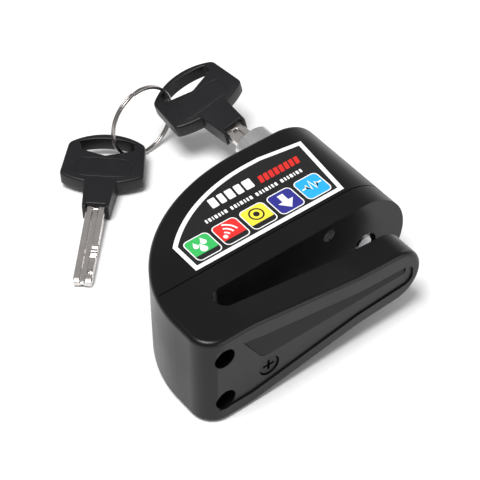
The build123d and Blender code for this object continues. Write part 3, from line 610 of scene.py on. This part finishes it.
def arrow_mark(x, y):
    """An arrow that points down."""
    arrow = [(-1.0, 2.8), (-1.0, 0.0), (-2.6, 0.0), (0.0, -3.0), (2.6, 0.0), (1.0, 0.0), (1.0, 2.8)]
    return np.array(arrow) + (x, y)


def beat_mark(x, y):
    """A zigzag line like a pulse."""
    u = [-3.4, -2.2, -1.6, -0.8, 0.1, 0.9, 1.6, 2.2, 3.4]
    v = [0, 0, 1.3, -1.5, 2.5, -1.9, 0.9, 0, 0]
    return stroke(np.c_[u, v] * (1, 0.9) + (x, y + 0.3), 0.5)


def printed(name, ink, shapes, bottom, top):
    """One printed colour: thin plates on the film, each an outline or an outline with its holes."""
    skin = Skin()
    for shape in shapes:
        loop, holes = shape if isinstance(shape, tuple) else (shape, [])
        slab(skin, loop, holes, bottom, top, 0.0, level, steps=1)
    piece = skin.finish(name, ink)
    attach(piece, "lock_body")


class DISCLOCK_OT_label(bpy.types.Operator):
    """Builds the label: film, white border, five tiles with plain marks, and bars for a title"""

    bl_idname = "disclock.label"
    bl_label = "Make Label"

    def execute(self, context):
        s = context.scene.disc_lock.label
        low, top = (corner[2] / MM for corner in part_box("label_plate"))
        film_top = top - 0.09
        bottom = film_top - 0.02
        film = Skin()
        slab(film, label_outline(0), [], low, film_top, 0.05, level)
        film = film.finish("label_film", print_ink("film_black", (0.006, 0.006, 0.0065)))
        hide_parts("label_plate")
        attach(film, "lock_body")

        white = print_ink("ink_white", s.white)
        lefts = [s.tile_left + i * s.tile_pitch for i in range(5)]
        y0, y1, side, line = s.tile_low, s.tile_low + s.tile, s.tile, 0.32
        whites = [(label_outline(s.border_inset), [label_outline(s.border_inset + s.border)])]
        for x in lefts:
            outer = rounded_box(x - line, x + side + line, y0 - line, y1 + line, s.tile_round + line)
            whites.append((outer, [rounded_box(x, x + side, y0, y1, s.tile_round)]))
        whites += title_bars() + small_bars()
        printed("label_white_print", white, whites, bottom, film_top + 0.03)
        red_ink = print_ink("ink_red_title", s.red_print)
        printed("label_red_print", red_ink, red_title_bars(), bottom, film_top + 0.03)

        for i, (x, name) in enumerate(zip(lefts, ("green", "red", "yellow", "navy", "cyan"))):
            captioned = i < 3
            foot = y0 + (s.caption if captioned else 0.0)
            tile = tile_shape(x, side, foot, y1, s.tile_round, captioned)
            ink = print_ink(f"ink_{name}", getattr(s, name))
            printed(f"tile_{name}", ink, [tile], bottom, film_top + 0.02)

        green, red, yellow, navy, cyan = (x + side / 2 for x in lefts)
        mid = y0 + side / 2
        marks = [*drop_marks(green, mid), *wave_marks(red, mid), arrow_mark(navy, mid), beat_mark(cyan, mid)]
        printed("label_white_marks", white, marks, bottom, film_top + 0.045)
        target = (circle(yellow, mid + 0.9, 2.35), [circle(yellow, mid + 0.9, 1.85)])
        dot = circle(yellow, mid + 0.9, 0.95, 25)
        black = print_ink("ink_black", (0.008, 0.008, 0.008))
        printed("label_black_marks", black, [target, dot], bottom, film_top + 0.045)
        return {"FINISHED"}


def key_plane(number):
    """A key's own plane: its neck's end, then the ways across, along and out of the flat key."""
    if number == 1:
        turn = radians(KEY_1_TURN)
        return KEY_1_NECK, (cos(turn), 0, sin(turn)), (0, 1, 0), (-sin(turn), 0, cos(turn))
    yaw, pitch = radians(KEY_2_YAW), radians(KEY_2_PITCH)
    height = BLADE_LENGTH * sin(pitch) + BLADE_HALF_THICK * cos(pitch) + FLOOR_GAP
    u = (sin(yaw), -cos(yaw), 0)
    v = (cos(pitch) * cos(yaw), cos(pitch) * sin(yaw), sin(pitch))
    w = (-sin(pitch) * cos(yaw), -sin(pitch) * sin(yaw), cos(pitch))
    return (*KEY_2_NECK, height), u, v, w


def bow_outline():
    """The bow: an arch above, a shallower one below towards the neck, and slanting sides."""
    arch = three_point_arc((12.0, 25.4), (0, 29.6), (-12.0, 25.4))
    base = three_point_arc((-13.1, 12.1), (0, 8.7), (13.1, 12.1))
    return softened(np.vstack([arch, base]), 0.3, 0.75)


def hole_outline():
    """The ring's hole: an arch above and a shallow V below."""
    arch = three_point_arc((8.8, 25.7), (0, 27.4), (-8.8, 25.7))
    return softened(np.vstack([arch, [(-8.8, 23.0), (0.0, 20.4), (8.8, 23.0)]]), 0.2, 0.35)


def oval_outline(half_wide, low, high, blur):
    """A box whose corners are eased until it reads as an oval."""
    corners = [(-half_wide, low), (half_wide, low), (half_wide, high), (-half_wide, high)]
    return softened(corners, 0.25, blur)


def neck_outline():
    """The neck, wider towards the bow, with two prongs beside the blade."""
    right = [(2.9, 0), (2.9, -1.3), (4.1, -1.3), (5.0, 10.4)]
    left = [(-u, v) for u, v in reversed(right)]
    return softened(left[1:] + right + left[:1], 0.15, 0.12)


class DISCLOCK_OT_key_bows(bpy.types.Operator):
    """Builds both plastic bows with rounded edges, ring holes, sunk ovals and forked necks"""

    bl_idname = "disclock.key_bows"
    bl_label = "Make Key Bows"

    def execute(self, context):
        s = context.scene.disc_lock.keys
        colour_of = context.scene.disc_lock.finishes.moulding
        plastic = coated("key_plastic", colour_of, 0.40, 3000.0, 0.00003, coat=0.1)
        bow, hole, neck = bow_outline(), hole_outline(), neck_outline()
        oval = oval_outline(8.4, 11.9, 18.9, 2.2)
        rim = oval_outline(9.0, 11.3, 19.5, 2.3)
        half, neck_half = s.bow_thick / 2, s.neck_thick / 2
        root, lift = half - 0.5, half + s.oval_rise
        for number in (1, 2):
            place = in_plane(*key_plane(number))
            skin = Skin()
            slab(skin, bow, [hole], -half, half, s.bow_round, place, s.hole_round, 5)
            slab(skin, neck, [], -neck_half, neck_half, 0.35, place, steps=3)
            for low, high in ((-lift, -root), (root, lift)):
                slab(skin, rim, [oval], low, high, 0.14, place, 0.14, 2)
            piece = skin.finish(f"key_{number}_bow_moulding", plastic)
            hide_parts(f"key_{number}_bow")
            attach(piece, f"key_{number}")
        return {"FINISHED"}


def held(values):
    """The values, held between 0 and 1."""
    return np.clip(values, 0, 1)


def blade_skin(skin, place):
    """A key blade.

    Each face stands at half the thickness, less a channel along the middle,
    less a rounded edge, less cuts in one land: two Vs, a shallow step between
    them and the last cut, and a bowl there.  The other face is the same turned
    half round.  Towards the tip the thickness shrinks by 0.55 + 0.45 sqrt(t)
    and the width by 0.86 + 0.14 sqrt(t), t the share of the tip's length, and
    the middle is drawn back to leave two lobes.
    """
    far, tip_length = -BLADE_LENGTH, 1.6
    near_tip = np.linspace(far, far + 2.2, 12)
    shank = np.linspace(far + 2.3, BLADE_IN_NECK, 260)
    v = np.concatenate([near_tip, shank])[:, None]
    u = np.linspace(-BLADE_HALF_WIDE, BLADE_HALF_WIDE, 61)[None]
    channel = 0.8 * held((1.0 - np.abs(u + 0.05)) / 0.35) * held((0.5 - v) / 0.8)
    rounding = 0.22 * held((np.abs(u) - BLADE_HALF_WIDE + 0.3) / 0.3) ** 2
    land = held((u - 0.75) / 0.15)
    notches = sum(1.05 * held(1 - np.abs(v - cut) / 0.75) for cut in (-15.7, -18.3))
    step = 0.35 * held((1.6 - np.abs(v + 20.6)) / 0.5)
    bowl = 0.85 * np.sqrt(held(1 - ((v + 25.4) / 1.0) ** 2 - ((u - 1.85) / 0.85) ** 2))
    share = np.sqrt(held((v - far) / tip_length))
    lobes = 0.5 * held((far + tip_length - v) / tip_length) * held(1 - np.abs(u) / 1.1)
    face = BLADE_HALF_THICK - channel - rounding - land * (notches + step) - bowl
    face = np.maximum(face * (0.55 + 0.45 * share), 0.12)
    wide = u * (0.86 + 0.14 * share)
    along = v + lobes + 0 * u
    top = np.stack([wide, along, face], axis=-1)
    under = np.stack([-wide, along, -face], axis=-1)
    loops = np.concatenate([top, under], axis=1)
    flat = loops.reshape(-1, 3)
    rows = place(flat[:, :2], flat[:, 2]).reshape(loops.shape)
    skin.grid(rows[:, ::-1])
    close_ends(skin, rows)


def close_ends(skin, rows):
    """Closes a grid's first and last rows with fans round their middles."""
    for row, order in ((rows[0], 1), (rows[-1], -1)):
        n = len(row)
        fan = [(i, (i + 1) % n, n)[::order] for i in range(n)]
        skin.add(np.vstack([row, row.mean(0)]), fan)


class DISCLOCK_OT_blades(bpy.types.Operator):
    """Builds both nickel blades with their channels, notches and two-lobed tips"""

    bl_idname = "disclock.blades"
    bl_label = "Make Key Blades"

    def execute(self, context):
        nickel = context.scene.disc_lock.finishes.nickel
        worn = tuple(c * 0.92 for c in nickel)
        shade = metal("blade_nickel", worn, 0.24, (0.3, 0.3, 1), 1200.0, 0.000001)
        for number in (1, 2):
            skin = Skin()
            blade_skin(skin, in_plane(*key_plane(number)))
            piece = skin.finish(f"key_{number}_milled_blade", shade)
            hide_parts(f"key_{number}_blade")
            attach(piece, f"key_{number}")
        return {"FINISHED"}


def ring_rows(centre, wire, strand, turns):
    """The split ring's wire as rows of cross-sections.

    The wire's middle runs round a circle, turns times.  It stays half a strand
    to one side on the first turn and half a strand to the other on the second,
    and crosses over by the smooth step 3t^2 - 2t^3 over a twelfth of a turn.
    The section is a box with eased sides: sign(c) |c|^0.7 of sine and cosine.
    """
    yaw, lean = radians(RING_YAW), radians(RING_LEAN)
    normal = np.array((sin(yaw) * cos(lean), -cos(yaw) * cos(lean), sin(lean)))
    across = np.array((cos(yaw), sin(yaw), 0.0))
    over = np.cross(normal, across)
    run = np.linspace(0, turns * 2 * pi, turns * 220)
    step = held((run / (2 * pi) - 1) * 12 + 0.5)
    side = strand * ((3 * step**2 - 2 * step**3) - 0.5)
    a = np.linspace(0, 2 * pi, 17)[:-1]
    out = wire / 2 * eased(np.cos(a))
    flat = strand / 2 * 0.97 * eased(np.sin(a))
    angle = (run + radians(RING_CUT_AT))[:, None]
    around = np.cos(angle) * across + np.sin(angle) * over
    outward = around[:, None] * (RING_RADIUS + out)[None, :, None]
    sideways = normal * (side[:, None] + flat[None])[:, :, None]
    return centre + outward + sideways


def eased(c):
    """A sine or cosine pushed towards a square: sign(c) |c|^0.7."""
    return np.sign(c) * np.abs(c) ** 0.7


class DISCLOCK_OT_ring(bpy.types.Operator):
    """Builds the split ring as one flat wire wound twice, with a step where the turns cross"""

    bl_idname = "disclock.ring"
    bl_label = "Make Split Ring"

    def execute(self, context):
        s = context.scene.disc_lock.keys
        low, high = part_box("key_ring")
        centre = np.array(low + high) / 2 / MM
        rows = ring_rows(centre, s.wire, s.strand, s.turns)
        skin = Skin()
        skin.grid(rows[:, ::-1])
        close_ends(skin, rows)
        dull = tuple(c * 0.5 for c in context.scene.disc_lock.finishes.nickel)
        piece = skin.finish("split_ring_wire", metal("ring_nickel", dull, 0.22, (1, 1, 1), 1500.0, 0.000002))
        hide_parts("key_ring")
        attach(piece, "ring")
        return {"FINISHED"}


class DISCLOCK_OT_stage(bpy.types.Operator):
    """Makes the pale floor, the soft panel lights and the camera"""

    bl_idname = "disclock.stage"
    bl_label = "Make Stage"

    def execute(self, context):
        s = context.scene.disc_lock.studio
        scene = context.scene
        mat, nodes, links, main = shader("floor_white")
        where = object_coords(nodes, links)
        grain = noise(nodes, links, where, 14.0, 2.0)
        paler = tuple(min(1.0, c * 1.02) for c in s.floor)
        links.new(tint(nodes, links, grain, s.floor, paler), main.inputs["Base Color"])
        main.inputs["Roughness"].default_value = 0.8
        main.inputs["Specular IOR Level"].default_value = 0.1
        skin = Skin()
        reach = np.linspace(-2500.0, 2500.0, 11)
        x, y = np.meshgrid(reach, reach)
        skin.grid(np.stack([x, y, np.zeros_like(x)], axis=-1), close_columns=False)
        skin.finish("floor", mat)

        world = scene.world or bpy.data.worlds.new("studio")
        scene.world = world
        world.use_nodes = True
        back = world.node_tree.nodes["Background"]
        back.inputs["Color"].default_value = (1, 1, 1, 1)
        back.inputs["Strength"].default_value = s.world

        aim = Vector((0.035, 0.035, 0.015))
        lights = (
            ("overhead_panel", s.overhead, (0.6, 0.6), (-0.35, -0.05, 1.3)),
            ("front_panel", s.front, (1.2, 0.5), (0.45, -1.25, 0.30)),
            ("side_panel", s.side, (0.8, 0.7), (1.35, 0.25, 0.45)),
        )
        for name, power, size, at in lights:
            lamp = bpy.data.lights.new(name, "AREA")
            lamp.energy, lamp.shape = power, "RECTANGLE"
            lamp.size, lamp.size_y = size
            obj = bpy.data.objects.new(name, lamp)
            facing = (aim - Vector(at)).to_track_quat("-Z", "Y").to_matrix().to_4x4()
            obj.matrix_world = Matrix.Translation(at) @ facing
            context.collection.objects.link(obj)

        turn, dip, roll = radians(VIEW_TURN), radians(VIEW_DIP), radians(VIEW_ROLL)
        right = Vector((cos(turn), -sin(turn), 0))
        ahead = Vector((sin(turn), cos(turn), 0))
        view = ahead * cos(dip) - Vector((0, 0, sin(dip)))
        up = ahead * sin(dip) + Vector((0, 0, cos(dip)))
        cam_x = right * cos(roll) - up * sin(roll)
        cam_y = right * sin(roll) + up * cos(roll)
        right_by, up_by = VIEW_SHIFT
        at = (Vector(VIEW_TARGET) - view * VIEW_DISTANCE + cam_x * right_by + cam_y * up_by) * MM
        camera = bpy.data.cameras.new("camera")
        camera.sensor_width, camera.lens = 36.0, s.lens
        camera.clip_start = 0.01
        obj = bpy.data.objects.new("camera", camera)
        turned = Matrix((cam_x, cam_y, -view)).transposed()
        obj.matrix_world = Matrix.Translation(at) @ turned.to_4x4()
        context.collection.objects.link(obj)
        scene.camera = obj
        scene.view_settings.view_transform = "Standard"
        return {"FINISHED"}


class DISCLOCK_PT_panel(bpy.types.Panel):
    """Lists the steps that finish the disc lock"""

    bl_label = "Disc Lock"
    bl_idname = "DISCLOCK_PT_panel"
    bl_space_type = "VIEW_3D"
    bl_region_type = "UI"
    bl_category = "Disc Lock"

    def draw(self, context):
        for step in STEPS:
            self.layout.operator(step.bl_idname)
        settings = context.scene.disc_lock
        for group in (settings.finishes, settings.label, settings.keys, settings.studio):
            box = self.layout.box()
            for name in group.__annotations__:
                box.prop(group, name)


STEPS = (
    DISCLOCK_OT_castings,
    DISCLOCK_OT_lockwork,
    DISCLOCK_OT_alarm,
    DISCLOCK_OT_label,
    DISCLOCK_OT_key_bows,
    DISCLOCK_OT_blades,
    DISCLOCK_OT_ring,
    DISCLOCK_OT_stage,
)
CLASSES = (LockFinishes, LabelSizes, KeySizes, StudioSettings, LockSettings, *STEPS, DISCLOCK_PT_panel)


def register():
    """Adds the classes and the scene's settings."""
    for cls in CLASSES:
        bpy.utils.register_class(cls)
    bpy.types.Scene.disc_lock = PointerProperty(type=LockSettings)


def unregister():
    """Takes them away again."""
    del bpy.types.Scene.disc_lock
    for cls in reversed(CLASSES):
        bpy.utils.unregister_class(cls)


def main():
    """Runs every step in order."""
    register()
    for step in STEPS:
        group, name = step.bl_idname.split(".")
        getattr(getattr(bpy.ops, group), name)()
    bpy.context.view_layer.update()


if __name__ == "__main__":
    main()
